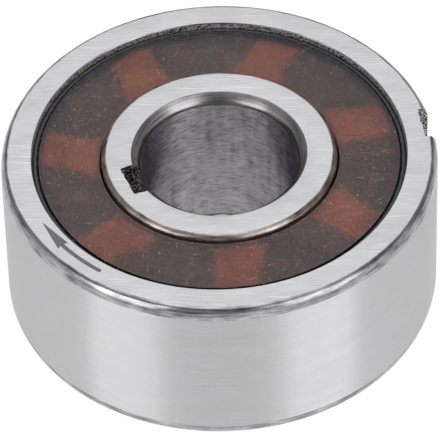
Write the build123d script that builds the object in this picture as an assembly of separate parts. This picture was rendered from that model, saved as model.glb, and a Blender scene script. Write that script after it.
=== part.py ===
from build123d import *
from math import cos, radians, sin, sqrt
import os

# A one-way clutch bearing, 8 x 22 x 9 mm, in millimetres and degrees.
# The origin is the centre of the bore, half way along it, and +Z is the axis.
# Angles run counter-clockwise from +X, seen from +Z. The housing slot is at +X.
# Between two plain tracks, sprags and balls take turns in one moulded cage.
# The inner ring turns freely counter-clockwise. Turned clockwise, it wedges the
# sprags, which lean clockwise on their way out, and drives the outer ring.

# Envelope: the walls run from the bore and from the outside to the tracks
bore_diameter = 8.0
inner_wall = 1.95
track_gap = 3.1
outer_wall = 1.95
width = 9.0

# Row of rolling and wedging elements
element_count = 7
first_sprag_angle = 9.25

# Balls and their grooves
ball_diameter = 3.969
groove_conformity = 0.52
ball_clearance = 0.01

# Ring edges
bore_chamfer = 0.42
inner_ring_edge = 0.18
outer_corner_depth = 0.36
outer_corner_height = 0.65
outer_corner_bulge = 0.04
edge_break = 0.05

# Keyways: the hub's is in the bore, the housing's in the outside
hub_key_width = 2.0
hub_key_depth = 1.0
hub_key_angle = 192.2
housing_key_width = 2.0
housing_key_depth = 0.6
housing_key_angle = 0.0
keyway_root_radius = 0.12
cutter_overrun = 1.0

# Shields and the seats they snap into
shield_seat_depth = 0.65
shield_seat_width = 0.39
shield_undercut = 0.08
undercut_height = 0.21
shield_set_back = 0.28
shield_thickness = 0.25
shield_bore_clearance = 0.11
shield_foot_width = 0.42
shield_bead_width = 0.28
shield_bead_drop = 0.04
shield_valley_drop = 0.14
shield_fit_clearance = 0.02

# Cage: a base ring that carries one finger for each sprag
cage_clearance = 0.1
cage_end_clearance = 0.12
cage_base_top = -1.0
ball_pocket_clearance = 0.115
finger_lean = 8.5
finger_inner_wall = 0.675
finger_waist_wall = 0.315
finger_outer_wall = 0.395
finger_cap = 0.55
window_corner = 0.1

# Sprags: two cams with offset centres, and a waist between them
sprag_end_clearance = 0.1
sprag_side_clearance = 0.125
sprag_foot_width = 1.25
sprag_waist_width = 0.9
inner_cam_radius = 1.35
outer_cam_radius = 1.5
cam_offset = 0.165
sprag_clearance = 0.01
sprag_corner = 0.08

# Bowed leaf springs, one in each sprag window
spring_end_clearance = 0.5
spring_width = 0.55
spring_thickness = 0.08
spring_shift = 0.33
spring_seat_clearance = 0.005
spring_sprag_clearance = 0.1

# Worked out from the sizes above
half_width = width / 2
bore_radius = bore_diameter / 2
inner_track = bore_radius + inner_wall
pitch_radius = inner_track + track_gap / 2
outer_track = inner_track + track_gap
outside_radius = outer_track + outer_wall
ball_radius = ball_diameter / 2
groove_radius = groove_conformity * ball_diameter
pitch_angle = 360 / element_count
first_ball_angle = first_sprag_angle + pitch_angle / 2
seat_height = half_width - shield_seat_depth
recess_radius = outer_track + shield_seat_width
shield_top_height = half_width - shield_set_back
shield_underside = shield_top_height - shield_thickness
cage_inner_radius = inner_track + cage_clearance
cage_outer_radius = outer_track - cage_clearance
cage_end = shield_underside - cage_end_clearance
window_height = cage_end - finger_cap
window_width = sprag_foot_width + 2 * sprag_side_clearance
sprag_length = 2 * (window_height - sprag_end_clearance)
spring_length = 2 * (window_height - spring_end_clearance)


def turned(outline):
    """One closed outline in radius and height, turned about Z and mirrored below."""
    upper_half = revolve(Plane.XZ * make_face(outline), Axis.Z)
    return upper_half + mirror(upper_half, about=Plane.XY)


def keyway_cutter(floor_radius, mouth_radius, slot_width, angle):
    """The metal that one keyway takes away, with rounded corners at its floor."""
    depth = abs(mouth_radius - floor_radius)
    block = Box(depth, slot_width, width + 2 * cutter_overrun)
    corners = block.edges().filter_by(Axis.Z).sort_by(Axis.X)
    floor_corners = corners[-2:] if floor_radius > mouth_radius else corners[:2]
    block = fillet(floor_corners, keyway_root_radius)
    return Rot(Z=angle) * Pos(X=(floor_radius + mouth_radius) / 2) * block


def ball_groove(bottom_radius, side):
    """The ring-shaped groove whose bottom lies at a radius; side is 1 when it opens inwards."""
    return Torus(bottom_radius - side * groove_radius, groove_radius)


def make_outer_ring():
    """Ring with the outer track, a ball groove, two shield seats and the housing slot."""
    corner_start = (outside_radius - outer_corner_depth, half_width)
    corner_end = (outside_radius, half_width - outer_corner_height)
    corner_middle = (
        outside_radius - outer_corner_depth / 2 + outer_corner_bulge,
        half_width - outer_corner_height / 2 + outer_corner_bulge,
    )
    undercut_radius = recess_radius + shield_undercut
    outline = Polyline(
        corner_end,
        (outside_radius, 0),
        (outer_track, 0),
        (outer_track, seat_height),
        (undercut_radius, seat_height),
        (undercut_radius, seat_height + undercut_height),
        (recess_radius, seat_height + undercut_height + shield_undercut),
        (recess_radius, half_width - edge_break),
        (recess_radius + edge_break, half_width),
        corner_start,
    ) + ThreePointArc(corner_start, corner_middle, corner_end)
    ring = turned(outline)
    ring -= ball_groove(pitch_radius + ball_radius + ball_clearance, 1)
    return ring - keyway_cutter(
        outside_radius - housing_key_depth,
        outside_radius + cutter_overrun,
        housing_key_width,
        housing_key_angle,
    )


def make_inner_ring():
    """Ring with the chamfered bore, the inner track, a ball groove and the hub keyway."""
    outline = Polyline(
        (bore_radius, 0),
        (bore_radius, half_width - bore_chamfer),
        (bore_radius + bore_chamfer, half_width),
        (inner_track - inner_ring_edge, half_width),
        (inner_track, half_width - inner_ring_edge),
        (inner_track, 0),
        close=True,
    )
    ring = turned(outline)
    ring -= ball_groove(pitch_radius - ball_radius - ball_clearance, -1)
    return ring - keyway_cutter(
        bore_radius + hub_key_depth,
        bore_radius - cutter_overrun,
        hub_key_width,
        hub_key_angle,
    )


def make_shield():
    """Flat plate with a bead round its rim and a foot that snaps under the recess wall."""
    inner_radius = inner_track + shield_bore_clearance
    rim_radius = recess_radius + shield_undercut - shield_fit_clearance
    foot_inner_radius = rim_radius - shield_foot_width
    bead_outer = (recess_radius - shield_fit_clearance, seat_height + undercut_height)
    valley = (bead_outer[0] - shield_bead_width, shield_top_height - shield_valley_drop)
    bead_top = (
        (valley[0] + bead_outer[0]) / 2,
        shield_top_height - shield_bead_drop,
    )
    plate_edge = (valley[0] - edge_break, shield_top_height)
    outline = Polyline(
        bead_outer,
        (rim_radius, seat_height + undercut_height - shield_fit_clearance),
        (rim_radius, seat_height),
        (foot_inner_radius, seat_height),
        (foot_inner_radius, shield_underside),
        (inner_radius, shield_underside),
        (inner_radius, shield_top_height - edge_break),
        (inner_radius + edge_break, shield_top_height),
        plate_edge,
        valley,
    ) + ThreePointArc(valley, bead_top, bead_outer)
    return revolve(Plane.XZ * make_face(outline), Axis.Z)


def waisted_outline(inner_end, outer_end, inner_half, waist_half, outer_half):
    """Two opposite sides that curve in to a waist at the pitch circle, along X."""
    return (
        Line((inner_end, -inner_half), (inner_end, inner_half))
        + ThreePointArc((inner_end, inner_half), (0, waist_half), (outer_end, outer_half))
        + Line((outer_end, outer_half), (outer_end, -outer_half))
        + ThreePointArc((outer_end, -outer_half), (0, -waist_half), (inner_end, -inner_half))
    )


def leaning(shape):
    """Lean a shape that lies along X clockwise, and set it on the pitch circle."""
    return Pos(X=pitch_radius) * Rot(Z=-finger_lean) * shape


def around(shape, index, first_angle):
    """Turn a shape made at +X to its own place in the row."""
    return Rot(Z=first_angle + index * pitch_angle) * shape


def make_finger():
    """One cage finger at +X, still wider than the cage in its radial direction."""
    reach = track_gap / 2
    outline = waisted_outline(
        -reach,
        reach,
        window_width / 2 + finger_inner_wall,
        window_width / 2 + finger_waist_wall,
        window_width / 2 + finger_outer_wall,
    )
    finger = extrude(make_face(outline), 2 * cage_end)
    return leaning(Pos(Z=-cage_end) * finger)


def make_window():
    """The slot through one finger that holds a sprag and its spring."""
    slot = Box(2 * track_gap, window_width, 2 * window_height)
    return leaning(fillet(slot.edges().filter_by(Axis.X), window_corner))


def make_cage():
    """Crown cage: a base ring with a dish under each ball and a windowed finger at each sprag."""
    envelope = Cylinder(cage_outer_radius, 2 * cage_end) - Cylinder(
        cage_inner_radius, 2 * cage_end
    )
    base_height = cage_end + cage_base_top
    base = Pos(Z=cage_base_top - base_height / 2) * Cylinder(cage_outer_radius, base_height)
    finger = make_finger()
    fingers = [around(finger, k, first_sprag_angle) for k in range(element_count)]
    cage = (base + fingers) & envelope
    pocket = Pos(X=pitch_radius) * Sphere(ball_radius + ball_pocket_clearance)
    window = make_window()
    pockets = [around(pocket, k, first_ball_angle) for k in range(element_count)]
    windows = [around(window, k, first_sprag_angle) for k in range(element_count)]
    return cage - pockets - windows


def cam_centre(radius, sideways):
    """A cam centre at +X, seen along the leaning line of the finger through the pitch circle."""
    x = sqrt(radius**2 - sideways**2) - pitch_radius
    lean = radians(finger_lean)
    return Vector(x * cos(lean) - sideways * sin(lean), x * sin(lean) + sideways * cos(lean))


def cam_corner(centre, cam_radius, sideways, outwards):
    """The point of a cam at a distance to the side of the leaning line."""
    return (centre.X + outwards * sqrt(cam_radius**2 - (sideways - centre.Y) ** 2), sideways)


def make_sprag():
    """One sprag at +X: it stands 0.01 mm off both tracks and leans clockwise."""
    foot = cam_centre(inner_track + sprag_clearance + inner_cam_radius, cam_offset / 2)
    head = cam_centre(outer_track - sprag_clearance - outer_cam_radius, -cam_offset / 2)
    half_foot = sprag_foot_width / 2
    half_waist = sprag_waist_width / 2
    foot_left = cam_corner(foot, inner_cam_radius, half_foot, -1)
    foot_right = cam_corner(foot, inner_cam_radius, -half_foot, -1)
    head_left = cam_corner(head, outer_cam_radius, half_foot, 1)
    head_right = cam_corner(head, outer_cam_radius, -half_foot, 1)
    outline = (
        ThreePointArc(foot_right, (foot.X - inner_cam_radius, foot.Y), foot_left)
        + ThreePointArc(foot_left, (0, half_waist), head_left)
        + ThreePointArc(head_left, (head.X + outer_cam_radius, head.Y), head_right)
        + ThreePointArc(head_right, (0, -half_waist), foot_right)
    )
    face = make_face(outline)
    face = fillet(face.vertices(), sprag_corner)
    return leaning(Pos(Z=-sprag_length / 2) * extrude(face, sprag_length))


def make_sprag_spring():
    """One bowed leaf at +X, standing on the window's clockwise wall and bowed towards the sprag."""
    wall = -window_width / 2 + spring_seat_clearance
    crest = -sprag_waist_width / 2 - spring_sprag_clearance
    bow = crest - wall - spring_thickness
    end = spring_length / 2
    back = ThreePointArc((wall, -end), (wall + bow, 0), (wall, end))
    front = ThreePointArc((crest - bow, end), (crest, 0), (crest - bow, -end))
    outline = (
        back
        + Line((wall, end), (crest - bow, end))
        + front
        + Line((crest - bow, -end), (wall, -end))
    )
    leaf = extrude(Plane.YZ * make_face(outline), spring_width / 2, both=True)
    return leaning(Pos(X=spring_shift) * leaf)


def make_ball():
    """One ball at +X."""
    return Pos(X=pitch_radius) * Sphere(ball_radius)


def write(name, shape):
    """Write one node's solid to its own file."""
    export_step(shape, f"parts/{name}.step")


def main():
    """Make every piece in place and write one file for each."""
    os.makedirs("parts", exist_ok=True)
    write("outer_ring", make_outer_ring())
    write("inner_ring", make_inner_ring())
    write("cage", make_cage())
    shield = make_shield()
    write("shield_top", shield)
    write("shield_bottom", mirror(shield, about=Plane.XY))
    ball = make_ball()
    sprag = make_sprag()
    spring = make_sprag_spring()
    for k in range(element_count):
        write(f"ball_{k + 1}", around(ball, k, first_ball_angle))
        write(f"sprag_{k + 1}", around(sprag, k, first_sprag_angle))
        write(f"sprag_spring_{k + 1}", around(spring, k, first_sprag_angle))


main()
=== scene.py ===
"""Looks for a one-way clutch bearing: ground rings, tinted shields and a moulded cage.

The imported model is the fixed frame. Its rings and shields are turned again here with finer
edges, rough keyways and an etched arrow; its cage, balls, sprags and springs stay and get
their finishes. Sizes are in millimetres and angles in degrees until a mesh is made.
"""

import logging
import math
from abc import ABC, abstractmethod
from collections.abc import Callable, Iterable
from dataclasses import dataclass, field
from enum import Enum

import bmesh
import bpy
from bmesh.types import BMEdge, BMesh, BMVert
from bpy.types import ID, Material, Node, NodeSocket, NodeTree, Object, World
from mathutils import Matrix, Vector, noise


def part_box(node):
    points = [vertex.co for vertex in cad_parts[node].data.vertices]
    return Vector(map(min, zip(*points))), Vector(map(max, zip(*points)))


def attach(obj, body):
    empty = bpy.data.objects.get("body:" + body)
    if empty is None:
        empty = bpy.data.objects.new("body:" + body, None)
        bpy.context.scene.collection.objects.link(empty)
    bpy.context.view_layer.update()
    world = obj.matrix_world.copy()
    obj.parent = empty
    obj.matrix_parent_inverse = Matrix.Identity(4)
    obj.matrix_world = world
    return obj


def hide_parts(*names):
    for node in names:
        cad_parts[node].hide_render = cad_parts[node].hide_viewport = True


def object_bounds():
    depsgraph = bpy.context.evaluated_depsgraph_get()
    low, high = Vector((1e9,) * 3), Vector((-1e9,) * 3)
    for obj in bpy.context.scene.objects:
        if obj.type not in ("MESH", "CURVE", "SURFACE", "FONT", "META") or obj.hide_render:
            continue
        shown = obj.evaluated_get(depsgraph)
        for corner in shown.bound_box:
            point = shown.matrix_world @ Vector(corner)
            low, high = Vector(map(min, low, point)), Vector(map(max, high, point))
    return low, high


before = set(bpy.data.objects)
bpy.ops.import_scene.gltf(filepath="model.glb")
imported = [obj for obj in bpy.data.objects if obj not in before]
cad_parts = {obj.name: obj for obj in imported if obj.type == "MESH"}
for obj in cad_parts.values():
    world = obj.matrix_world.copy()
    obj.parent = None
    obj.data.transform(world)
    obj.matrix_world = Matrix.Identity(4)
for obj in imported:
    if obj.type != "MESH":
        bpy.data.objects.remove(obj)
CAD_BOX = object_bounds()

LOG = logging.getLogger("clutch_bearing")
MM = 0.001
MERGE_REACH = 0.0001
LOOP_REACH = 0.004
REGION_REACH = 0.01
BORE_REACH = 0.002
SHARP_ANGLE = 32.0
FLAT_WEIGHT = 90
GRAIN_CORE = (0.3, 0.7)
WHITE = (1.0, 1.0, 1.0, 1.0)

Span = tuple[float, float]


class Side(Enum):
    """The two faces of the bearing."""

    TOP = 1
    BOTTOM = -1


class Region(Enum):
    """The surfaces of a ring, each with a finish of its own, in the order of its slots."""

    FACE = "face"
    RIM = "rim"
    EDGE = "edge"
    RECESS = "recess"
    TRACK = "track"


def linear(colour: str) -> tuple[float, float, float, float]:
    """Turn an sRGB hex colour into linear light.

    Args:
        colour: Six hex digits, such as "c9c9cc".

    Returns:
        Red, green, blue and an opacity of 1.
    """
    parts = [int(colour[i : i + 2], 16) / 255 for i in (0, 2, 4)]
    light = [p / 12.92 if p <= 0.04045 else ((p + 0.055) / 1.055) ** 2.4 for p in parts]
    return (*light, 1.0)


def direction(azimuth: float, elevation: float = 0.0) -> Vector:
    """Point away from the origin by two angles.

    Args:
        azimuth: Degrees round Z from +X.
        elevation: Degrees above the level.

    Returns:
        A vector of length 1.
    """
    turn = math.radians(azimuth)
    lift = math.radians(elevation)
    level = math.cos(lift)
    return Vector((math.cos(turn) * level, math.sin(turn) * level, math.sin(lift)))


def add_node(tree: NodeTree, kind: str, settings: dict, inputs: dict | list) -> Node:
    """Add one node with its settings, its plain inputs and its links.

    Args:
        tree: The node tree that gets the node.
        kind: The node's type name, after "ShaderNode".
        settings: Attributes of the node by name.
        inputs: By name or number, or as a list in order: values, output sockets, or nodes
            whose first output is meant.

    Returns:
        The new node.
    """
    made = tree.nodes.new(f"ShaderNode{kind}")
    for name, value in settings.items():
        setattr(made, name, value)
    for name, value in inputs.items() if isinstance(inputs, dict) else enumerate(inputs):
        if isinstance(value, Node):
            value = value.outputs[0]
        if isinstance(value, NodeSocket):
            tree.links.new(value, made.inputs[name])
        else:
            made.inputs[name].default_value = value
    return made


def fade(
    tree: NodeTree, value: Node, span: Span, first: str | NodeSocket, second: str | NodeSocket
) -> NodeSocket:
    """Go from one colour to another while a value crosses a span.

    Args:
        tree: The material's node tree.
        value: The node whose value drives the change.
        span: Where the change starts and ends.
        first: The hex colour or colour socket before the span.
        second: The one after it.

    Returns:
        The colour socket.
    """
    share = add_node(tree, "MapRange", {}, [value, *span])
    ends = [linear(end) if isinstance(end, str) else end for end in (first, second)]
    mixed = add_node(tree, "Mix", {"data_type": "RGBA"}, {0: share, 6: ends[0], 7: ends[1]})
    return mixed.outputs[2]


def axis_distance(tree: NodeTree) -> NodeSocket:
    """Measure each point's distance from the bearing's axis.

    Args:
        tree: The material's node tree.

    Returns:
        The distance in millimetres.
    """
    place = add_node(tree, "TexCoord", {}, {}).outputs["Object"]
    scale = (1 / MM, 1 / MM, 0.0)
    level = add_node(tree, "VectorMath", {"operation": "MULTIPLY"}, [place, scale])
    length = add_node(tree, "VectorMath", {"operation": "LENGTH"}, [level])
    return length.outputs["Value"]


@dataclass(frozen=True)
class Grain:
    """Noise on the object's own coordinates, with a real size along each of its axes.

    The sizes are the millimetres that one feature takes along the grain's own X, Y and Z,
    turned about Z. The shift moves the pattern, so that two grains differ.
    """

    sizes: tuple[float, float, float]
    detail: float = 2.0
    turn: float = 0.0
    shift: float = 0.0
    roughness: float = 0.55

    def add(self, tree: NodeTree) -> Node:
        """Add the noise.

        Args:
            tree: The material's node tree.

        Returns:
            The node whose value lies between 0 and 1.
        """
        place = add_node(tree, "TexCoord", {}, {}).outputs["Object"]
        turned = add_node(
            tree,
            "Mapping",
            {"vector_type": "POINT"},
            {"Vector": place, "Rotation": (0.0, 0.0, math.radians(-self.turn))},
        )
        scaled = add_node(
            tree,
            "Mapping",
            {"vector_type": "POINT"},
            {
                "Vector": turned,
                "Location": (self.shift,) * 3,
                "Scale": tuple(1 / (size * MM) for size in self.sizes),
            },
        )
        return add_node(
            tree,
            "TexNoise",
            {"noise_dimensions": "3D"},
            {"Vector": scaled, "Scale": 1.0, "Detail": self.detail, "Roughness": self.roughness},
        )


@dataclass(frozen=True)
class Finish(ABC):
    """One material, with the surface that each kind of finish describes."""

    name: str

    @abstractmethod
    def surface(self, tree: NodeTree) -> Node:
        """Add the nodes of the surface.

        Args:
            tree: The material's node tree.

        Returns:
            The shader.
        """

    def make(self) -> Material:
        """Make the material.

        Returns:
            The material, with this surface and nothing else.
        """
        material = bpy.data.materials.new(self.name)
        material.use_nodes = True
        tree = material.node_tree
        tree.nodes.clear()
        add_node(tree, "OutputMaterial", {}, {"Surface": self.surface(tree)})
        return material


@dataclass(frozen=True)
class GroundSteel(Finish):
    """Bearing steel, face ground on a flat disc: pale, with fine straight lines one way.

    True grinding lines are a few micrometres apart. These are wide enough to show.
    """

    name: str = "bearing_steel_face_ground"
    dark: str = "bebec2"
    pale: str = "d4d4d6"
    bright: str = "f4f4f6"
    pale_span: Span = (0.36, 0.62)
    bright_span: Span = (0.62, 0.9)
    roughness: float = 0.34
    rough_swing: float = 0.05
    lines: Grain = Grain((1.1, 0.05, 1.1), detail=3.0, turn=-6.0)
    line_depth: float = 0.00035
    cloud: Grain = Grain((2.4, 1.2, 2.4), detail=1.0, turn=-6.0, shift=3.7)
    cloud_share: float = 0.3
    scratches: Grain = Grain((2.6, 0.05, 2.6), detail=0.0, turn=-14.0, shift=9.2)
    scratch_span: Span = (0.72, 0.80)
    scratch_strength: float = 0.4

    def surface(self, tree: NodeTree) -> Node:
        """Add the ground surface.

        Args:
            tree: The material's node tree.

        Returns:
            The shader.
        """
        lines = self.lines.add(tree)
        cloud = self.cloud.add(tree)
        mixed = add_node(tree, "Mix", {}, {0: self.cloud_share, 2: lines, 3: cloud})
        found = [self.scratches.add(tree), *self.scratch_span, 0.0, self.scratch_strength]
        scratches = add_node(tree, "MapRange", {}, found)
        mixed = add_node(tree, "Math", {"operation": "ADD"}, [mixed, scratches])
        colour = fade(tree, mixed, self.pale_span, self.dark, self.pale)
        colour = fade(tree, mixed, self.bright_span, colour, self.bright)
        swing = (self.roughness - self.rough_swing, self.roughness + self.rough_swing)
        rough = add_node(tree, "MapRange", {}, [lines, *GRAIN_CORE, *swing])
        height = {"Height": mixed, "Distance": self.line_depth * MM}
        values = {
            "Base Color": colour,
            "Metallic": 1.0,
            "Roughness": rough,
            "Normal": add_node(tree, "Bump", {}, height),
        }
        return add_node(tree, "BsdfPrincipled", {}, values)


@dataclass(frozen=True)
class TurnedSteel(Finish):
    """Bearing steel with marks that run round the axis, from a grinding wheel or a turning tool.

    The marks stretch each reflection along the axis. They are drawn wider than true ones,
    so that they show. A drag adds patches of scratches along the axis.
    """

    pale: str
    dark: str
    roughness: float
    line_pitch: float
    line_depth: float
    line_length: float = 7.0
    mottle: float = 0.3
    anisotropy: float = 0.0
    lay: float = 0.25
    drag: float = 0.0
    grazing: str = "ffffff"
    colour_span: Span = (0.34, 0.64)
    rough_swing: float = 0.04
    cloud: Grain = Grain((1.3, 1.3, 0.8), detail=3.0, shift=5.1)
    streaks: Grain = Grain((0.3, 0.3, 2.5), shift=1.9)
    patches: Grain = Grain((2.2, 2.2, 3.0), detail=1.0, shift=7.7)
    patch_span: Span = (0.45, 0.6)

    def surface(self, tree: NodeTree) -> Node:
        """Add the turned surface.

        Args:
            tree: The material's node tree.

        Returns:
            The shader.
        """
        lines = Grain((self.line_length, self.line_length, self.line_pitch)).add(tree)
        cloud = self.cloud.add(tree)
        mixed = add_node(tree, "Mix", {}, {0: self.mottle, 2: lines, 3: cloud})
        if self.drag:
            found = [self.patches.add(tree), *self.patch_span, 0.0, self.drag]
            patch = add_node(tree, "MapRange", {}, found)
            streaks = [self.streaks.add(tree), 0.5]
            scored = add_node(tree, "Math", {"operation": "SUBTRACT"}, streaks)
            added = [scored, patch, mixed]
            mixed = add_node(tree, "Math", {"operation": "MULTIPLY_ADD"}, added)
        colour = fade(tree, mixed, self.colour_span, self.dark, self.pale)
        swing = (self.roughness - self.rough_swing, self.roughness + self.rough_swing)
        rough = add_node(tree, "MapRange", {}, [lines, *GRAIN_CORE, *swing])
        height = {"Height": mixed, "Distance": self.line_depth * MM}
        values = {
            "Base Color": colour,
            "Metallic": 1.0,
            "Roughness": rough,
            "Specular Tint": linear(self.grazing),
            "Normal": add_node(tree, "Bump", {}, height),
        }
        if self.anisotropy:
            values |= {
                "Anisotropic": self.anisotropy,
                "Anisotropic Rotation": self.lay,
                "Tangent": add_node(tree, "Tangent", {"direction_type": "RADIAL", "axis": "Z"}, {}),
            }
        return add_node(tree, "BsdfPrincipled", {}, values)


@dataclass(frozen=True)
class RawSteel(Finish):
    """Steel left rough by a cutter or an etch, or greased: dull, with dark and pale grit."""

    pale: str
    dark: str
    roughness: float = 0.6
    grit: float = 0.12
    depth: float = 0.02
    metallic: float = 1.0
    spread: Span = (0.38, 0.68)
    detail: float = 4.0
    rough_swing: float = 0.12

    def surface(self, tree: NodeTree) -> Node:
        """Add the rough surface.

        Args:
            tree: The material's node tree.

        Returns:
            The shader.
        """
        speckle = Grain((self.grit,) * 3, self.detail).add(tree)
        swing = (self.roughness + self.rough_swing, self.roughness - self.rough_swing)
        height = {"Height": speckle, "Distance": self.depth * MM}
        values = {
            "Base Color": fade(tree, speckle, self.spread, self.dark, self.pale),
            "Metallic": self.metallic,
            "Roughness": add_node(tree, "MapRange", {}, [speckle, *GRAIN_CORE, *swing]),
            "Normal": add_node(tree, "Bump", {}, height),
        }
        return add_node(tree, "BsdfPrincipled", {}, values)


@dataclass(frozen=True)
class TintedShield(Finish):
    """Smoke-tinted nylon sheet, moulded with a matt skin: what lies close behind shows softly.

    Dust specks, a haze and pinkish blotches at random lie on the skin. The rim is opaque:
    its valley is painted near black for shade, its bead grey for the light on its crest.
    Both spans of the rim are distances from the axis.
    """

    name: str = "tinted_nylon_moulded_matt"
    tint: str = "dec6b6"
    shade: str = "c0aa9c"
    red_blotch: str = "d8aea4"
    sheen: str = "cfe4ff"
    dust: str = "c6c2c4"
    valley: str = "0c0a0b"
    bead: str = "504c4b"
    roughness: float = 0.66
    ior: float = 1.61
    cloud: Grain = Grain((1.6, 1.6, 1.6), detail=3.0)
    fine: Grain = Grain((0.11, 0.11, 0.11), detail=1.0, shift=6.6)
    fine_share: float = 0.5
    shade_span: Span = (0.38, 0.62)
    red_blotches: Grain = Grain((1.1, 1.1, 1.1), shift=4.9)
    red_blotch_span: Span = (0.53, 0.68)
    red_blotch_film: float = 0.04
    specks: Grain = Grain((0.10, 0.10, 0.10), detail=1.0, shift=8.3)
    speck_span: Span = (0.662, 0.73)
    speck_film: float = 0.62
    haze: Grain = Grain((0.07, 0.07, 0.07), detail=1.0, shift=5.5)
    haze_span: Span = (0.42, 0.75)
    haze_film: float = 0.05
    skin: Grain = Grain((0.08, 0.08, 0.08), shift=2.2)
    skin_depth: float = 0.003
    rim_span: Span = (9.07, 9.10)
    bead_span: Span = (9.19, 9.25)

    def surface(self, tree: NodeTree) -> Node:
        """Add the tinted skin.

        Args:
            tree: The material's node tree.

        Returns:
            The shader.
        """
        radius = axis_distance(tree)
        red_blotches, rim, specks, haze = (
            add_node(tree, "MapRange", {}, [value, *span, 0.0, most])
            for value, span, most in (
                (self.red_blotches.add(tree), self.red_blotch_span, 1.0),
                (radius, self.rim_span, 1.0),
                (self.specks.add(tree), self.speck_span, self.speck_film),
                (self.haze.add(tree), self.haze_span, self.haze_film),
            )
        )
        cloud = self.cloud.add(tree)
        fine = self.fine.add(tree)
        mixed = add_node(tree, "Mix", {}, {0: self.fine_share, 2: cloud, 3: fine})
        colour = fade(tree, mixed, self.shade_span, self.shade, self.tint)
        # Painted shade and highlight: the rim is opaque, its valley painted near black for shade
        # and its bead grey for the light on its crest.
        edging = fade(tree, radius, self.bead_span, self.valley, self.bead)
        # Pinkish blotches at random lie over the tint, then the rim's colours, then the dust
        # specks.
        layers = ((red_blotches, linear(self.red_blotch)), (rim, edging), (specks, linear(self.dust)))
        for share, layer in layers:
            laid = {0: share, 6: colour, 7: layer}
            colour = add_node(tree, "Mix", {"data_type": "RGBA"}, laid).outputs[2]
        mottled = [red_blotches, self.red_blotch_film, specks]
        film = add_node(tree, "Math", {"operation": "MULTIPLY_ADD"}, mottled)
        for operation, layer in (("ADD", haze), ("MAXIMUM", rim)):
            film = add_node(tree, "Math", {"operation": operation}, [film, layer])
        height = {"Height": self.skin.add(tree), "Distance": self.skin_depth * MM}
        values = {
            "Base Color": colour,
            "Roughness": self.roughness,
            "IOR": self.ior,
            "Specular Tint": linear(self.sheen),
            "Transmission Weight": add_node(tree, "Math", {"operation": "SUBTRACT"}, [1.0, film]),
            "Normal": add_node(tree, "Bump", {}, height),
        }
        return add_node(tree, "BsdfPrincipled", {}, values)


@dataclass(frozen=True)
class MouldedPolyamide(Finish):
    """Red-brown polyamide, injection moulded: a soft sheen, and painted shade below the caps.

    The caps of the fingers keep the moulded colour. Painted shade, dark blue-grey with dark
    red patches, covers what lies lower or nearer to the axis.
    """

    name: str = "polyamide_red_brown_moulded"
    pale: str = "ff9838"
    dark: str = "f0862e"
    painted_shade: str = "1a2038"
    shade_red: str = "703426"
    roughness: float = 0.5
    ior: float = 1.53
    cloud: Grain = Grain((0.9, 0.9, 0.9), detail=3.0)
    shade_red_patches: Grain = Grain((1.2, 1.2, 1.2), shift=3.1)
    shade_red_span: Span = (0.49, 0.67)
    skin: Grain = Grain((0.15, 0.15, 0.15), shift=4.4)
    skin_depth: float = 0.004
    painted_shade_height: float = 3.3
    unshaded_height: float = 3.8
    unshaded_span: Span = (6.1, 6.3)

    def surface(self, tree: NodeTree) -> Node:
        """Add the moulded surface and its painted shade.

        Args:
            tree: The material's node tree.

        Returns:
            The shader.
        """
        place = add_node(tree, "TexCoord", {}, {}).outputs["Object"]
        rise = add_node(tree, "SeparateXYZ", {}, [place]).outputs["Z"]
        height = add_node(tree, "Math", {"operation": "ABSOLUTE"}, [rise])
        # Painted shade: below the caps and near the axis, the cage is painted dark blue-grey with
        # dark red patches instead of its moulded colour.
        caps = [height, self.painted_shade_height * MM, self.unshaded_height * MM]
        outer = [axis_distance(tree), *self.unshaded_span]
        shares = [add_node(tree, "MapRange", {}, part) for part in (caps, outer)]
        unshaded = add_node(tree, "Math", {"operation": "MULTIPLY"}, shares)
        darkened = fade(tree, self.shade_red_patches.add(tree), self.shade_red_span, self.painted_shade, self.shade_red)
        moulded = fade(tree, self.cloud.add(tree), GRAIN_CORE, self.dark, self.pale)
        laid = {0: unshaded, 6: darkened, 7: moulded}
        colour = add_node(tree, "Mix", {"data_type": "RGBA"}, laid).outputs[2]
        height = {"Height": self.skin.add(tree), "Distance": self.skin_depth * MM}
        values = {
            "Base Color": colour,
            "Roughness": self.roughness,
            "IOR": self.ior,
            "Normal": add_node(tree, "Bump", {}, height),
        }
        return add_node(tree, "BsdfPrincipled", {}, values)


@dataclass(frozen=True)
class WhitePaper(Finish):
    """Matt white paper: plain white to the eye, with shadows, and glowing in polished steel.

    Where polished steel mirrors it, the paper glows with painted light, brightest close to the
    bearing and falling off.
    """

    name: str = "paper_white_matt"
    colour: str = "ebebeb"
    seen_light: float = 1.1
    seen_share: float = 0.88
    near_glow: float = 0.56
    far_glow: float = 0.2
    glow_span: Span = (22.0, 36.0)

    def surface(self, tree: NodeTree) -> Node:
        """Add the paper.

        Args:
            tree: The material's node tree.

        Returns:
            The shader.
        """
        path = add_node(tree, "LightPath", {}, {})
        # Painted light: in what polished steel mirrors, the paper glows, most near the bearing.
        faded = [axis_distance(tree), *self.glow_span, self.near_glow, self.far_glow]
        glow = add_node(tree, "MapRange", {}, faded)
        shares = [
            add_node(tree, "Math", {"operation": "MULTIPLY"}, [path.outputs[ray], share])
            for ray, share in (("Is Camera Ray", self.seen_share), ("Is Glossy Ray", glow))
        ]
        share = add_node(tree, "Math", {"operation": "MAXIMUM"}, shares)
        lit = add_node(tree, "BsdfDiffuse", {}, [linear(self.colour), 0.0])
        bright = add_node(tree, "Emission", {}, [WHITE, self.seen_light])
        return add_node(tree, "MixShader", {}, [share, lit, bright])


def add_object(name: str, data: ID) -> Object:
    """Put a new object in the scene.

    Args:
        name: The object's name.
        data: Its mesh, lamp or camera.

    Returns:
        The object, at the origin.
    """
    made = bpy.data.objects.new(name, data)
    bpy.context.scene.collection.objects.link(made)
    return made


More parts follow.
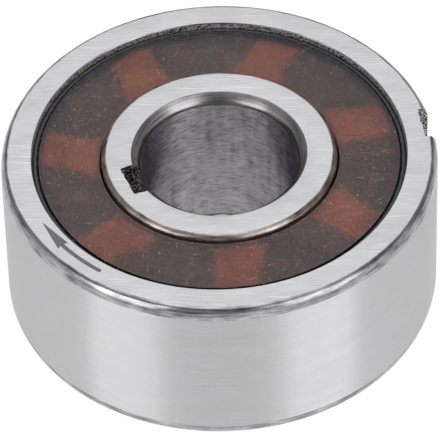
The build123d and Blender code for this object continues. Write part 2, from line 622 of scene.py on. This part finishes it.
def to_object(bm: BMesh, name: str, materials: Iterable[Material]) -> Object:
    """Turn a bmesh into an object in the scene.

    Args:
        bm: The mesh, which is freed.
        name: The object's name.
        materials: Its materials in slot order.

    Returns:
        The new object, at the origin.
    """
    mesh = bpy.data.meshes.new(name)
    bm.to_mesh(mesh)
    bm.free()
    for material in materials:
        mesh.materials.append(material)
    return add_object(name, mesh)


def apply_modifiers(piece: Object) -> None:
    """Replace a piece's mesh by what its modifiers make of it.

    Args:
        piece: The object whose modifiers are used up.
    """
    bpy.context.view_layer.update()
    graph = bpy.context.evaluated_depsgraph_get()
    old = piece.data
    piece.data = bpy.data.meshes.new_from_object(
        piece.evaluated_get(graph), preserve_all_data_layers=True, depsgraph=graph
    )
    piece.modifiers.clear()
    bpy.data.meshes.remove(old)
    piece.data.name = piece.name


def cut(piece: Object, cutters: list[Object]) -> None:
    """Take cutters away from a piece and remove them; the cut faces keep their material.

    Args:
        piece: The piece to cut.
        cutters: The objects that are taken away.
    """
    for cutter in cutters:
        taking = piece.modifiers.new("cut", "BOOLEAN")
        taking.operation = "DIFFERENCE"
        taking.solver = "EXACT"
        taking.material_mode = "TRANSFER"
        taking.object = cutter
    apply_modifiers(piece)
    for cutter in cutters:
        bpy.data.meshes.remove(cutter.data)


def smooth(piece: Object) -> None:
    """Shade a piece smoothly, with sharp edges past an angle and flat faces kept flat.

    Args:
        piece: The piece to shade.
    """
    mesh = piece.data
    mesh.shade_smooth()
    mesh.set_sharp_from_angle(angle=math.radians(SHARP_ANGLE))
    weighted = piece.modifiers.new("weighted", "WEIGHTED_NORMAL")
    weighted.keep_sharp = True
    weighted.weight = FLAT_WEIGHT
    apply_modifiers(piece)


def soften(bm: BMesh, geom: list, size: float, steps: int, affect: str = "EDGES") -> None:
    """Round some edges or corners.

    Args:
        bm: The mesh.
        geom: The edges, or the corners.
        size: Width of the rounding in millimetres.
        steps: Faces across the rounding.
        affect: "EDGES" or "VERTICES".
    """
    bmesh.ops.bevel(
        bm,
        geom=geom,
        offset=size * MM,
        offset_type="OFFSET",
        segments=steps,
        profile=0.5,
        affect=affect,
        material=-1,
        clamp_overlap=True,
    )


def round_loop(bm: BMesh, radius: float, height: float, size: float, steps: int) -> None:
    """Round the edges that run round the axis at a radius and height, above and below.

    Args:
        bm: The turned mesh.
        radius: The loop's distance from the axis in millimetres.
        height: The loop's height above the middle in millimetres.
        size: Width of the rounding in millimetres.
        steps: Faces across the rounding.
    """
    reach = LOOP_REACH * MM
    found = []
    for edge in bm.edges:
        places = [vert.co for vert in edge.verts]
        beside = all(abs(place.xy.length - radius * MM) < reach for place in places)
        level = all(abs(abs(place.z) - height * MM) < reach for place in places)
        if beside and level and places[0].z * places[1].z > 0:
            found.append(edge)
    soften(bm, found, size, steps)


class Lathe:
    """Draws a closed section in radius and height, then turns it about Z."""

    def __init__(self, radius: float, height: float) -> None:
        """Start the section at one point.

        Args:
            radius: Distance from the axis in millimetres.
            height: Height in millimetres.
        """
        self.bm = bmesh.new()
        self.first = self.bm.verts.new((radius * MM, 0.0, height * MM))
        self.last = self.first

    def lines_to(self, *places: tuple[float, float]) -> None:
        """Draw straight lines from point to point.

        Args:
            places: Each point's distance from the axis and height in millimetres.
        """
        for radius, height in places:
            corner = self.bm.verts.new((radius * MM, 0.0, height * MM))
            self.bm.edges.new((self.last, corner))
            self.last = corner

    def quarter_to(self, radius: float, height: float, steps: int, level_first: bool) -> None:
        """Draw a quarter of an ellipse to a point.

        Args:
            radius: The point's distance from the axis in millimetres.
            height: Its height in millimetres.
            steps: Straight pieces in the quarter.
            level_first: True where the curve starts level and ends upright.
        """
        start_radius = self.last.co.x / MM
        start_height = self.last.co.z / MM
        for step in range(1, steps + 1):
            turned = math.radians(90 * step / steps)
            early, late = math.sin(turned), 1 - math.cos(turned)
            if not level_first:
                early, late = late, early
            along = start_radius + (radius - start_radius) * early
            self.lines_to((along, start_height + (height - start_height) * late))

    def groove_across(self, track: float, centre: float, size: float, steps: int) -> None:
        """Draw a line to a ball groove in the middle of a track, and the groove's arc.

        Args:
            track: The track's distance from the axis in millimetres.
            centre: The distance of the arc's centre, past the track or short of it.
            size: The arc's radius in millimetres.
            steps: Straight pieces in the arc.
        """
        half_width = math.sqrt(size**2 - (centre - track) ** 2)
        self.lines_to((track, math.copysign(half_width, centre - track)))
        drawn = bmesh.ops.spin(
            self.bm,
            geom=[self.last],
            cent=(centre * MM, 0.0, 0.0),
            axis=(0.0, 1.0, 0.0),
            angle=-2 * math.asin(half_width / size),
            steps=steps,
            use_duplicate=False,
        )
        self.last = next(v for v in drawn["geom_last"] if isinstance(v, BMVert))

    def turn(self, steps: int) -> BMesh:
        """Close the section and turn it through a full circle.

        Args:
            steps: Faces round the circle.

        Returns:
            The closed mesh with its faces pointing outwards.
        """
        self.bm.edges.new((self.last, self.first))
        bmesh.ops.spin(
            self.bm,
            geom=self.bm.verts[:] + self.bm.edges[:],
            cent=(0.0, 0.0, 0.0),
            axis=(0.0, 0.0, 1.0),
            angle=math.tau,
            steps=steps,
            use_merge=True,
            use_duplicate=False,
        )
        bmesh.ops.remove_doubles(self.bm, verts=self.bm.verts[:], dist=MERGE_REACH * MM)
        bmesh.ops.recalc_face_normals(self.bm, faces=self.bm.faces[:])
        return self.bm


@dataclass
class Keyway:
    """A slot across a ring, broached and left rough, with ragged edges.

    The walls are a grid of rows and columns. Each of its points is shifted by lumps of a
    real size and by finer ones. The seed makes every run draw the same lumps.
    """

    floor_radius: float
    open_radius: float
    slot_width: float
    angle: float
    ring_width: float
    seed: int
    overrun: float = 1.0
    corner: float = 0.12
    corner_steps: int = 3
    rows: int = 90
    columns: int = 16
    narrow: float = 0.25
    lump: float = 0.32
    fine_ratio: float = 3.1
    fine_share: float = 0.5
    roughness: float = 0.05

    def uprights(self, bm: BMesh) -> list[BMEdge]:
        """List the edges that run from the block's foot to its head."""
        least = self.ring_width / 2 * MM
        return [edge for edge in bm.edges if abs(edge.verts[0].co.z - edge.verts[1].co.z) > least]

    def cutter(self, material: Material) -> Object:
        """Make the rough block that the slot takes away.

        Args:
            material: The finish of the slot's walls.

        Returns:
            The cutter, ready for cut().
        """
        inwards = math.copysign(1, self.floor_radius - self.open_radius)
        mouth_radius = self.open_radius - inwards * self.overrun
        depth = abs(mouth_radius - self.floor_radius)
        block = Vector((depth, self.slot_width, self.ring_width + self.overrun)) * MM
        bm = bmesh.new()
        bmesh.ops.create_cube(bm, size=1.0)
        bmesh.ops.scale(bm, vec=block, verts=bm.verts[:])
        corners = [edge for edge in self.uprights(bm) if edge.verts[0].co.x * inwards > 0]
        soften(bm, corners, self.corner, self.corner_steps)
        tall = self.uprights(bm)
        bmesh.ops.subdivide_edges(bm, edges=tall, cuts=self.rows - 1, use_grid_fill=True)
        wide = [edge for edge in bm.edges if edge.calc_length() > self.narrow * MM]
        bmesh.ops.subdivide_edges(bm, edges=wide, cuts=self.columns - 1, use_grid_fill=True)
        middle = (self.floor_radius + mouth_radius) / 2
        bmesh.ops.translate(bm, vec=(middle * MM, 0.0, 0.0), verts=bm.verts[:])
        noise.seed_set(self.seed)
        for vert in bm.verts:
            place = vert.co / (self.lump * MM)
            coarse = noise.noise_vector(place)
            fine = noise.noise_vector(place * self.fine_ratio)
            vert.co += (coarse + fine * self.fine_share) * self.roughness * MM
        bmesh.ops.rotate(
            bm,
            cent=(0.0, 0.0, 0.0),
            matrix=Matrix.Rotation(math.radians(self.angle), 3, "Z"),
            verts=bm.verts[:],
        )
        bmesh.ops.triangulate(bm, faces=bm.faces[:])
        bmesh.ops.recalc_face_normals(bm, faces=bm.faces[:])
        return to_object(bm, "keyway_cutter", [material])


@dataclass
class EtchedArrow:
    """A curved arrow on the top face that shows the way the outer ring may turn."""

    radius: float = 10.0
    tail_angle: float = -136.9
    neck_angle: float = -152.0
    notch_angle: float = -151.9
    barb_angle: float = -151.2
    tip_angle: float = -162.5
    tip_radius: float = 9.98
    shaft_width: float = 0.22
    shaft_steps: int = 24
    tail_steps: int = 20
    head_width: float = 0.62
    softness: float = 0.05
    softness_steps: int = 3
    depth: float = 0.015
    block_height: float = 0.3

    def cutters(self, top: float, material: Material) -> list[Object]:
        """Make the tail, shaft and head that are taken out of the face.

        Args:
            top: Height of the face in millimetres.
            material: The finish of the etched floor.

        Returns:
            The three cutters.
        """
        floor = Vector((0.0, 0.0, (top - self.depth) * MM))
        start = direction(self.tail_angle) * MM
        half = self.shaft_width / 2
        shaft = bmesh.new()
        ends = [shaft.verts.new(start * (self.radius + side) + floor) for side in (-half, half)]
        bmesh.ops.spin(
            shaft,
            geom=[*ends, shaft.edges.new(ends)],
            cent=(0.0, 0.0, 0.0),
            axis=(0.0, 0.0, 1.0),
            angle=math.radians(self.neck_angle - self.tail_angle),
            steps=self.shaft_steps,
            use_duplicate=False,
        )
        outline = (
            (self.radius - self.head_width / 2, self.barb_angle),
            (self.radius, self.notch_angle),
            (self.radius + self.head_width / 2, self.barb_angle),
            (self.tip_radius, self.tip_angle),
        )
        head = bmesh.new()
        corners = [head.verts.new(direction(turn) * far * MM + floor) for far, turn in outline]
        head.faces.new(corners)
        soften(head, corners, self.softness, self.softness_steps, "VERTICES")
        tail = bmesh.new()
        bmesh.ops.create_circle(
            tail,
            cap_ends=True,
            segments=self.tail_steps,
            radius=half * MM,
            matrix=Matrix.Translation(start * self.radius + floor),
        )
        parts = {"tail": tail, "shaft": shaft, "head": head}
        return [self.thicken(bm, f"arrow_{part}_cutter", material) for part, bm in parts.items()]

    def thicken(self, bm: BMesh, name: str, material: Material) -> Object:
        """Raise a flat outline into a block that stands over the face.

        Args:
            bm: The flat outline.
            name: The cutter's name.
            material: Its finish.

        Returns:
            The cutter.
        """
        raised = bmesh.ops.extrude_face_region(bm, geom=bm.faces[:])
        tops = [v for v in raised["geom"] if isinstance(v, BMVert)]
        bmesh.ops.translate(bm, vec=(0.0, 0.0, self.block_height * MM), verts=tops)
        bmesh.ops.recalc_face_normals(bm, faces=bm.faces[:])
        return to_object(bm, name, [material])


def dress_ring(
    bm: BMesh,
    name: str,
    region_of: Callable[[float, float, Vector], Region],
    finishes: dict[Region, Material],
    cutters: list[Object],
) -> Object:
    """Give each face of a ring the finish of its region, then cut and shade the ring.

    Args:
        bm: The turned mesh.
        name: The piece's name.
        region_of: Gives the region of a face from its radius, height and normal.
        finishes: The material of each region, in the order of the slots.
        cutters: What is cut out of it.

    Returns:
        The finished ring.
    """
    order = list(finishes)
    for face in bm.faces:
        middle = face.calc_center_median()
        region = region_of(middle.xy.length / MM, abs(middle.z) / MM, face.normal)
        face.material_index = order.index(region)
    ring = to_object(bm, name, finishes.values())
    cut(ring, cutters)
    smooth(ring)
    return ring


@dataclass
class OuterRing:
    """The outer ring: ground faces and outside, rounded corners, two shield seats and a slot."""

    outside_radius: float
    half_width: float
    track_radius: float = 9.05
    corner_depth: float = 0.36
    corner_height: float = 0.65
    corner_steps: int = 12
    seat_height: float = 3.85
    seat_radius: float = 9.44
    undercut: float = 0.08
    undercut_height: float = 0.21
    edge: float = 0.05
    groove_radius: float = 2.064
    groove_centre: float = 7.431
    groove_steps: int = 16
    slot_depth: float = 0.6
    slot_width: float = 2.0
    slot_angle: float = 0.0
    slot_seed: int = 7
    level: float = 0.995
    steps: int = 288

    def region_of(self, radius: float, height: float, normal: Vector) -> Region:
        """Say which finish a face gets.

        Args:
            radius: The face's distance from the axis in millimetres.
            height: Its height above or below the middle in millimetres.
            normal: Its outward direction.

        Returns:
            The region.
        """
        middle_radius = (self.outside_radius + self.seat_radius) / 2
        if abs(normal.z) > self.level and height > self.half_width - REGION_REACH:
            return Region.FACE
        if radius > middle_radius:
            corner = height > self.half_width - self.corner_height
            return Region.EDGE if corner else Region.RIM
        if height > self.half_width - self.edge - REGION_REACH:
            return Region.EDGE
        return Region.RECESS if height > self.seat_height - REGION_REACH else Region.TRACK

    def build(self, finishes: dict[Region, Material], slot: Material, etched: Material) -> Object:
        """Turn the ring, cut its slot and arrow, and shade it.

        Args:
            finishes: The material of each region.
            slot: The material of the slot's walls.
            etched: The material of the arrow.

        Returns:
            The finished ring.
        """
        top = self.half_width
        shoulder = top - self.corner_height
        face_radius = self.outside_radius - self.corner_depth
        under_radius = self.seat_radius + self.undercut
        under_top = self.seat_height + self.undercut_height
        seat = [
            (self.track_radius, self.seat_height),
            (under_radius, self.seat_height),
            (under_radius, under_top),
            (self.seat_radius, under_top + self.undercut),
            (self.seat_radius, top - self.edge),
            (self.seat_radius + self.edge, top),
        ]
        groove = (self.track_radius, self.groove_centre, self.groove_radius, self.groove_steps)
        lathe = Lathe(face_radius, top)
        lathe.quarter_to(self.outside_radius, shoulder, self.corner_steps, True)
        lathe.lines_to((self.outside_radius, -shoulder))
        lathe.quarter_to(face_radius, -top, self.corner_steps, False)
        lathe.lines_to(*((radius, -height) for radius, height in reversed(seat)))
        lathe.groove_across(*groove)
        lathe.lines_to(*seat)
        keyway = Keyway(
            self.outside_radius - self.slot_depth,
            self.outside_radius,
            self.slot_width,
            self.slot_angle,
            2 * top,
            self.slot_seed,
        )
        cutters = [keyway.cutter(slot), *EtchedArrow().cutters(top, etched)]
        bm = lathe.turn(self.steps)
        return dress_ring(bm, "outer_ring_body", self.region_of, finishes, cutters)


@dataclass
class InnerRing:
    """The inner ring: ground faces, a chamfered bore with its slot, and a plain track.

    Each rounding is its width and the faces across it.
    """

    track_radius: float
    half_width: float
    bore_radius: float = 4.0
    chamfer: float = 0.42
    edge: float = 0.18
    edge_round: tuple[float, int] = (0.07, 3)
    chamfer_round: tuple[float, int] = (0.03, 2)
    bore_round: tuple[float, int] = (0.16, 4)
    groove_radius: float = 2.064
    groove_centre: float = 7.569
    groove_steps: int = 16
    lip_height: float = 0.9
    slot_depth: float = 1.0
    slot_width: float = 2.0
    slot_angle: float = 192.2
    slot_seed: int = 2
    level: float = 0.99
    steps: int = 256

    def region_of(self, radius: float, height: float, normal: Vector) -> Region:
        """Say which finish a face gets.

        Args:
            radius: The face's distance from the axis in millimetres.
            height: Its height above or below the middle in millimetres.
            normal: Its outward direction.

        Returns:
            The region.
        """
        if abs(normal.z) > self.level and height > self.half_width - REGION_REACH:
            return Region.FACE
        if radius < (self.bore_radius + self.track_radius) / 2:
            return Region.EDGE if radius > self.bore_radius + BORE_REACH else Region.RIM
        return Region.RECESS if height > self.half_width - self.lip_height else Region.TRACK

    def build(self, finishes: dict[Region, Material], slot: Material) -> Object:
        """Turn the ring, cut its slot, and shade it.

        Args:
            finishes: The material of each region.
            slot: The material of the slot's walls.

        Returns:
            The finished ring.
        """
        top = self.half_width
        face_radius = self.bore_radius + self.chamfer
        lip_radius = self.track_radius - self.edge
        face = [(face_radius, top), (lip_radius, top), (self.track_radius, top - self.edge)]
        groove = (self.track_radius, self.groove_centre, self.groove_radius, self.groove_steps)
        lathe = Lathe(self.bore_radius, top - self.chamfer)
        lathe.lines_to(*face)
        lathe.groove_across(*groove)
        lathe.lines_to(*((radius, -height) for radius, height in reversed(face)))
        lathe.lines_to((self.bore_radius, -top + self.chamfer))
        bm = lathe.turn(self.steps)
        round_loop(bm, lip_radius, top, *self.edge_round)
        round_loop(bm, self.track_radius, top - self.edge, *self.edge_round)
        round_loop(bm, face_radius, top, *self.chamfer_round)
        round_loop(bm, self.bore_radius, top - self.chamfer, *self.bore_round)
        keyway = Keyway(
            self.bore_radius + self.slot_depth,
            self.bore_radius,
            self.slot_width,
            self.slot_angle,
            2 * top,
            self.slot_seed,
        )
        cutters = [keyway.cutter(slot)]
        return dress_ring(bm, "inner_ring_body", self.region_of, finishes, cutters)


@dataclass
class Shield:
    """A snap-in shield: a flat plate, a bead round its rim and a foot in the ring's seat."""

    side: Side
    bore_radius: float = 6.06
    plate_radius: float = 9.09
    valley_radius: float = 9.14
    bead_radius: float = 9.42
    bead_flat: float = 0.12
    bead_drop: float = 0.05
    rim_radius: float = 9.5
    foot_radius: float = 9.08
    seat_height: float = 3.85
    rim_height: float = 4.04
    bead_height: float = 4.06
    valley_height: float = 4.08
    plate_top: float = 4.22
    plate_underside: float = 3.97
    edge: float = 0.05
    steps: int = 256

    def build(self, material: Material) -> Object:
        """Turn the shield on its own side.

        Args:
            material: Its finish.

        Returns:
            The finished shield.
        """
        up = self.side.value
        crown = (self.valley_radius + self.bead_radius) / 2
        crown_height = self.plate_top - self.bead_drop
        section = (
            (self.rim_radius, self.rim_height),
            (self.rim_radius, self.seat_height),
            (self.foot_radius, self.seat_height),
            (self.foot_radius, self.plate_underside),
            (self.bore_radius, self.plate_underside),
            (self.bore_radius, self.plate_top - self.edge),
            (self.bore_radius + self.edge, self.plate_top),
            (self.plate_radius, self.plate_top),
            (self.valley_radius, self.valley_height),
            (crown - self.bead_flat / 2, crown_height),
            (crown + self.bead_flat / 2, crown_height),
        )
        lathe = Lathe(self.bead_radius, up * self.bead_height)
        lathe.lines_to(*((radius, up * height) for radius, height in section))
        bm = lathe.turn(self.steps)
        shield = to_object(bm, f"shield_plate_{self.side.name.lower()}", [material])
        smooth(shield)
        return shield


@dataclass(frozen=True)
class Softbox:
    """One soft lamp beside the table, aimed at the bearing, and placed round from the camera."""

    name: str
    aside: float
    elevation: float
    distance: float
    width: float
    height: float
    brightness: float

    def build(self, target: Vector, camera_azimuth: float) -> Object:
        """Place the lamp.

        Args:
            target: The point that it faces, in metres.
            camera_azimuth: The camera's own direction in degrees.

        Returns:
            The lamp object.
        """
        data = bpy.data.lights.new(self.name, "AREA")
        data.shape = "RECTANGLE"
        data.size = self.width * MM
        data.size_y = self.height * MM
        data.energy = self.brightness * math.pi * data.size * data.size_y
        lamp = add_object(self.name, data)
        away = direction(camera_azimuth + self.aside, self.elevation)
        lamp.location = target + away * self.distance * MM
        lamp.rotation_mode = "QUATERNION"
        lamp.rotation_quaternion = (-away).to_track_quat("-Z", "Y")
        lamp.visible_camera = False
        return lamp


@dataclass
class Studio:
    """The table, the room's light, the soft lamps and the camera.

    The room is dim beside the camera and dimmer still round it, with a pale wall on each
    side, a bright ceiling and one window. Side, window and dark angles are from the camera.
    """

    camera_azimuth: float = -99.5
    camera_elevation: float = 45.762
    camera_distance: float = 261.26
    camera_roll: float = -1.663
    camera_lens: float = 419.2
    camera_sensor: float = 36.0
    camera_clip: Span = (10.0, 10000.0)
    aim: tuple[float, float, float] = (-0.0523, 0.0087, -0.353)
    table_size: float = 3000.0
    table_gap: float = 0.02
    wall_light: float = 0.28
    side_light: float = 0.68
    side_azimuth: float = 72.0
    side_span: Span = (0.84, 0.92)
    ceiling_light: float = 1.2
    ceiling_span: Span = (62.0, 74.0)
    window_light: float = 1.2
    window_azimuth: float = 50.0
    window_elevation: float = 45.0
    window_span: Span = (0.91, 0.97)
    dark_share: float = 0.4
    dark_span: Span = (9.0, 20.0)
    lamps: tuple[Softbox, ...] = (
        Softbox("softbox_left", -46, 19, 300, 183, 220, brightness=1.9),
        Softbox("softbox_right", 44, 19, 300, 183, 220, brightness=1.75),
        Softbox("softbox_top", 180, 50, 500, 380, 460, brightness=0.85),
    )

    def build_camera(self) -> Object:
        """Place the camera and make it the scene's own.

        Returns:
            The camera.
        """
        data = bpy.data.cameras.new("camera")
        data.sensor_width = self.camera_sensor
        data.lens = self.camera_lens
        data.dof.use_dof = False
        data.clip_start = self.camera_clip[0] * MM
        data.clip_end = self.camera_clip[1] * MM
        camera = add_object("camera", data)
        back = direction(self.camera_azimuth, self.camera_elevation)
        place = (Vector(self.aim) + back * self.camera_distance) * MM
        turned = back.to_track_quat("Z", "Y").to_matrix().to_4x4()
        roll = Matrix.Rotation(math.radians(self.camera_roll), 4, "Z")
        camera.matrix_world = Matrix.Translation(place) @ turned @ roll
        bpy.context.scene.camera = camera
        return camera

    def build_table(self, under: float) -> Object:
        """Lay the white table under the bearing.

        Args:
            under: The bearing's lowest point in metres.

        Returns:
            The table.
        """
        bm = bmesh.new()
        bmesh.ops.create_grid(bm, x_segments=1, y_segments=1, size=self.table_size / 2 * MM)
        bmesh.ops.translate(bm, vec=(0.0, 0.0, under - self.table_gap * MM), verts=bm.verts[:])
        table = to_object(bm, "table", [WhitePaper().make()])
        return table

    def build_room(self) -> World:
        """Light the room from every side.

        Returns:
            The scene's world, which looks plain white to the camera.
        """
        world = bpy.data.worlds.new("room")
        bpy.context.scene.world = world
        world.use_nodes = True
        tree = world.node_tree
        tree.nodes.clear()
        way = add_node(tree, "TexCoord", {}, {}).outputs["Generated"]
        rise = add_node(tree, "SeparateXYZ", {}, [way]).outputs["Z"]
        left, right, window, camera = (
            add_node(
                tree,
                "VectorMath",
                {"operation": "DOT_PRODUCT"},
                [way, direction(self.camera_azimuth + aside, elevation)],
            ).outputs["Value"]
            for aside, elevation in (
                (-self.side_azimuth, 0.0),
                (self.side_azimuth, 0.0),
                (self.window_azimuth, self.window_elevation),
                (0.0, self.camera_elevation),
            )
        )
        beside = add_node(tree, "Math", {"operation": "MAXIMUM"}, [left, right])
        low, high = (math.sin(math.radians(angle)) for angle in self.ceiling_span)
        near, far = (math.cos(math.radians(angle)) for angle in self.dark_span)
        walls, ceiling, pane, shade = (
            add_node(tree, "MapRange", {}, part)
            for part in (
                [beside, *self.side_span, self.wall_light, self.side_light],
                [rise, low, high, 0.0, self.ceiling_light],
                [window, *self.window_span, 0.0, self.window_light],
                [camera, far, near, 1.0, self.dark_share],
            )
        )
        seen = add_node(tree, "LightPath", {}, {}).outputs["Is Camera Ray"]
        light = walls
        for operation, part in (
            ("MAXIMUM", ceiling),
            ("MAXIMUM", pane),
            ("MULTIPLY", shade),
            ("MAXIMUM", seen),
        ):
            light = add_node(tree, "Math", {"operation": operation}, [light, part])
        glow = add_node(tree, "Background", {}, [WHITE, light])
        add_node(tree, "OutputWorld", {}, {"Surface": glow})
        return world

    def build(self, low: Vector, high: Vector) -> None:
        """Set everything up round the bearing.

        Args:
            low: The lowest corner of its box, in metres.
            high: The highest corner.
        """
        self.build_camera()
        self.build_table(low.z)
        self.build_room()
        for lamp in self.lamps:
            lamp.build((low + high) / 2, self.camera_azimuth)
            LOG.info("lamp %s", lamp.name)


@dataclass
class Bearing:
    """The whole bearing, sub-assembly by sub-assembly."""

    finishes: dict[str, Material] = field(default_factory=dict)

    def make_finishes(self) -> None:
        """Make every finish once."""
        made = (
            GroundSteel(),
            # Ground between wheels: hoops too fine to count, which draw each lamp out upwards.
            TurnedSteel(
                "bearing_steel_outside_ground",
                "e0e0e1",
                "d8d8da",
                roughness=0.34,
                line_pitch=0.06,
                line_depth=0.0001,
                line_length=3.0,
                mottle=0.25,
                anisotropy=1.0,
            ),
            # Tumbled after turning: a soft shine, broken by nicks and dark spots.
            TurnedSteel(
                "bearing_steel_corner_tumbled",
                "d2d1d3",
                "6e6d70",
                roughness=0.20,
                line_pitch=0.11,
                line_depth=0.005,
                line_length=1.2,
                mottle=0.5,
            ),
            # Turned: brownish, in short dark dashes.
            TurnedSteel(
                "bearing_steel_lip_mottled",
                "cfc4bf",
                "4a4240",
                roughness=0.3,
                line_pitch=0.12,
                line_depth=0.005,
                line_length=1.2,
                mottle=0.6,
            ),
            # Honed: grey, with broken hoops and scores along the bore.
            TurnedSteel(
                "bearing_steel_bore_honed",
                "d2d0d5",
                "8c8a90",
                roughness=0.30,
                line_pitch=0.11,
                line_depth=0.03,
                line_length=0.5,
                mottle=0.3,
                anisotropy=1.0,
                drag=0.4,
                grazing="5a585c",
            ),
            # Turned with a fine feed: bright, with even hoops.
            TurnedSteel(
                "bearing_steel_chamfer_turned",
                "bcbabb",
                "706e6f",
                roughness=0.29,
                line_pitch=0.08,
                line_depth=0.004,
                line_length=2.5,
                mottle=0.3,
                anisotropy=0.5,
                grazing="8a8889",
            ),
            # Left as turned, under a film of oil: dark, with bright flecks.
            RawSteel(
                "bearing_steel_seat_turned",
                "f2f0ee",
                "383534",
                roughness=0.5,
                grit=0.12,
                depth=0.03,
                metallic=0.7,
                spread=(0.40, 0.62),
            ),
            # Ground, under grease: an even brown-grey.
            TurnedSteel(
                "bearing_steel_track_greased",
                "77736f",
                "67635f",
                roughness=0.3,
                line_pitch=0.10,
                line_depth=0.0005,
                mottle=0.2,
            ),
            # Broached: torn, with bright grit, and painted nearly black for the shade in the hub's
            # slot.
            RawSteel(
                "bearing_steel_slot_darkened",
                "dedad6",
                "121110",
                roughness=0.45,
                grit=0.10,
                depth=0.05,
                spread=(0.48, 0.72),
            ),
            # Broached and dry: torn, with paler grit.
            RawSteel(
                "bearing_steel_slot_broached",
                "efebe7",
                "2b2928",
                roughness=0.45,
                grit=0.10,
                depth=0.05,
                spread=(0.42, 0.66),
            ),
            # Acid etched: an even dull grey, with no mirror in it.
            RawSteel("bearing_steel_acid_etched", "8a8989", "767575", 0.6, 0.06, 0.004, 0.4),
            # Polished or stamped, under grease: smooth, blotched from grey to brown,
            # and painted dark for the shade inside the bearing.
            RawSteel("bearing_steel_ball_darkened", "6e727a", "70605c", 0.3, 0.9, 0.0),
            RawSteel("bearing_steel_sprag_darkened", "666a72", "68564f", 0.35, 1.1, 0.001),
            RawSteel("spring_steel_strip_darkened", "6a6866", "5a5856", 0.35, 0.3, 0.001),
            TintedShield(),
            MouldedPolyamide(),
        )
        for finish in made:
            self.finishes[finish.name] = finish.make()
            LOG.info("finish %s", finish.name)

    def dress(self, node: str, finish: str) -> None:
        """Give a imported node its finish.

        Args:
            node: The node's name.
            finish: The finish's name.
        """
        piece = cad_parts[node]
        if not piece.material_slots:
            piece.data.materials.append(self.finishes[finish])
        for slot in piece.material_slots:
            slot.material = self.finishes[finish]

    def build_rings(self) -> None:
        """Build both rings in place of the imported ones."""
        steel = self.finishes
        low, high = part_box("outer_ring")
        outer = OuterRing(outside_radius=-low.x / MM, half_width=high.z / MM)
        ring = outer.build(
            {
                Region.FACE: steel["bearing_steel_face_ground"],
                Region.RIM: steel["bearing_steel_outside_ground"],
                Region.EDGE: steel["bearing_steel_corner_tumbled"],
                Region.RECESS: steel["bearing_steel_seat_turned"],
                Region.TRACK: steel["bearing_steel_track_greased"],
            },
            steel["bearing_steel_slot_broached"],
            steel["bearing_steel_acid_etched"],
        )
        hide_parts("outer_ring")
        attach(ring, "outer_ring_set")
        LOG.info("piece %s", ring.name)
        low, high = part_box("inner_ring")
        inner = InnerRing(track_radius=high.x / MM, half_width=high.z / MM)
        ring = inner.build(
            {
                Region.FACE: steel["bearing_steel_face_ground"],
                Region.RIM: steel["bearing_steel_bore_honed"],
                Region.EDGE: steel["bearing_steel_chamfer_turned"],
                Region.RECESS: steel["bearing_steel_lip_mottled"],
                Region.TRACK: steel["bearing_steel_track_greased"],
            },
            steel["bearing_steel_slot_darkened"],
        )
        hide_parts("inner_ring")
        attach(ring, "inner_ring_set")
        LOG.info("piece %s", ring.name)

    def build_shields(self) -> None:
        """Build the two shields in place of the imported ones."""
        for side in Side:
            shield = Shield(side).build(self.finishes["tinted_nylon_moulded_matt"])
            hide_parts(f"shield_{side.name.lower()}")
            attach(shield, "outer_ring_set")
            LOG.info("piece %s", shield.name)

    def dress_insides(self) -> None:
        """Give the cage, balls, sprags and springs their finishes."""
        kinds = {
            "cage": "polyamide_red_brown_moulded",
            "ball": "bearing_steel_ball_darkened",
            "sprag_spring": "spring_steel_strip_darkened",
            "sprag": "bearing_steel_sprag_darkened",
        }
        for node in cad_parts:
            kind = node.rstrip("0123456789").rstrip("_")
            if kind in kinds:
                self.dress(node, kinds[kind])
                LOG.info("piece %s", node)


def main() -> None:
    """Build the studio and the bearing."""
    logging.basicConfig(level=logging.INFO, format="%(name)s: %(message)s")
    bpy.context.scene.view_settings.view_transform = "Standard"
    low, high = CAD_BOX
    Studio().build(low, high)
    bearing = Bearing()
    bearing.make_finishes()
    bearing.build_rings()
    bearing.build_shields()
    bearing.dress_insides()


if __name__ == "__main__":
    main()
